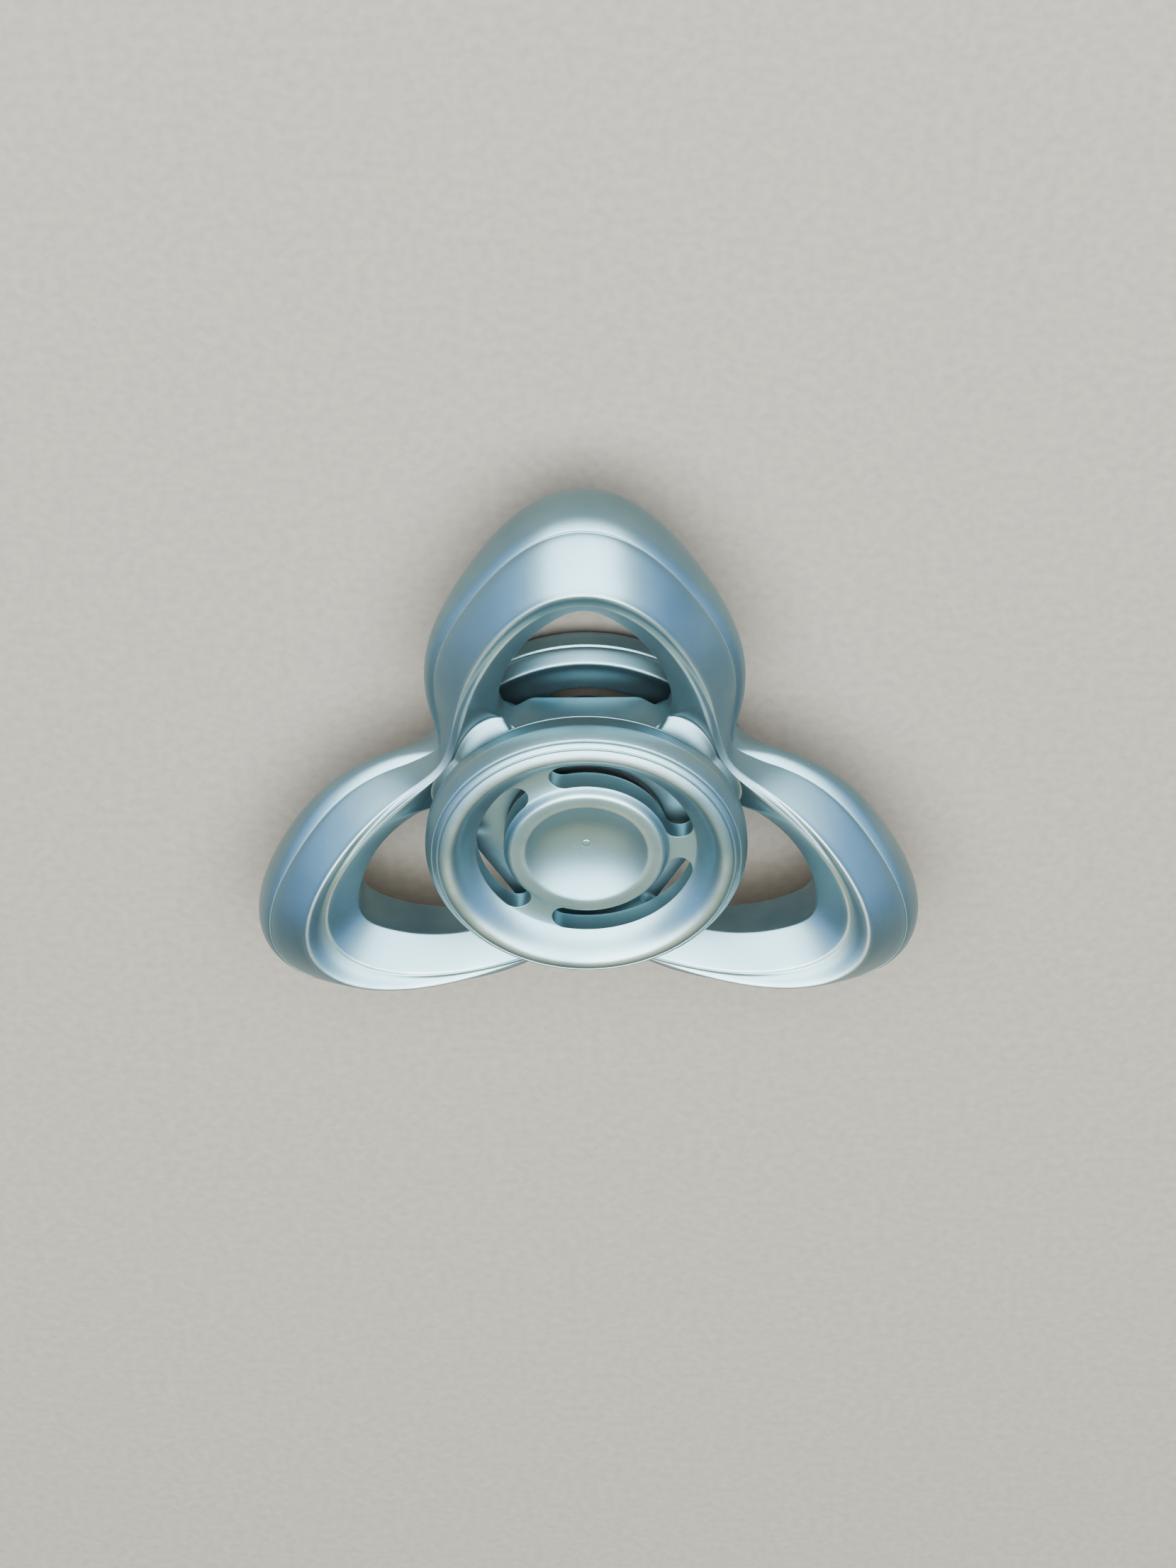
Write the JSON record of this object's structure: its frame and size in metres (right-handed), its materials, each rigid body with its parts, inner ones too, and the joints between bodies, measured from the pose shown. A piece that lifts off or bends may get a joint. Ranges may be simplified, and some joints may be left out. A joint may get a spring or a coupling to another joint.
{
  "type": "three-lobed finger spinner",
  "caption": "Open trefoil metal spinner: a looped frame turns on a small ball bearing between two round dished finger caps.",
  "frame": {"origin": "centre of the ball bearing, on the spin axis, halfway between the two finger caps", "axes": "+Z along the spin axis towards the upper cap, +Y along the middle of the first lobe, +X to its right"},
  "size_m": [0.0596, 0.0547, 0.0162],
  "materials": {
    "tinted_satin_steel": "bead-blasted satin with a blue-green tinted coating",
    "bearing_steel": "ground bearing steel",
    "cage_steel": "pressed sheet",
    "thin_steel": "turned, fine",
    "spring_steel": "dark satin",
    "ball_steel": "polished"
  },
  "bodies": {
    "grip": {"upper_cap": "tinted_satin_steel", "lower_cap": "tinted_satin_steel", "axle_sleeve": "thin_steel", "axle_stud": "spring_steel", "upper_spacer": "thin_steel", "lower_spacer": "thin_steel", "bearing_inner_ring": "bearing_steel"},
    "spinner": {"trefoil_body": "tinted_satin_steel", "bearing_lock_ring": "thin_steel", "bearing_outer_ring": "bearing_steel", "upper_shield": "thin_steel", "lower_shield": "thin_steel", "upper_shield_clip": "spring_steel", "lower_shield_clip": "spring_steel"},
    "ball_set": {"ball_cage": "cage_steel", "ball_1": "ball_steel", "ball_2": "ball_steel", "ball_3": "ball_steel", "ball_4": "ball_steel", "ball_5": "ball_steel", "ball_6": "ball_steel", "ball_7": "ball_steel", "ball_8": "ball_steel", "ball_9": "ball_steel", "ball_10": "ball_steel"}
  },
  "joints": [
    {"name": "spinner_spin", "type": "hinge", "parent": "grip", "child": "spinner", "pos_m": [0, 0, 0], "axis": [0, 0, 1], "continuous": true},
    {"name": "cage_spin", "type": "hinge", "parent": "grip", "child": "ball_set", "pos_m": [0, 0, 0], "axis": [0, 0, 1], "continuous": true}
  ],
  "couplings": [
    {"joint": "cage_spin", "follows": "spinner_spin", "ratio": 0.5834}
  ]
}
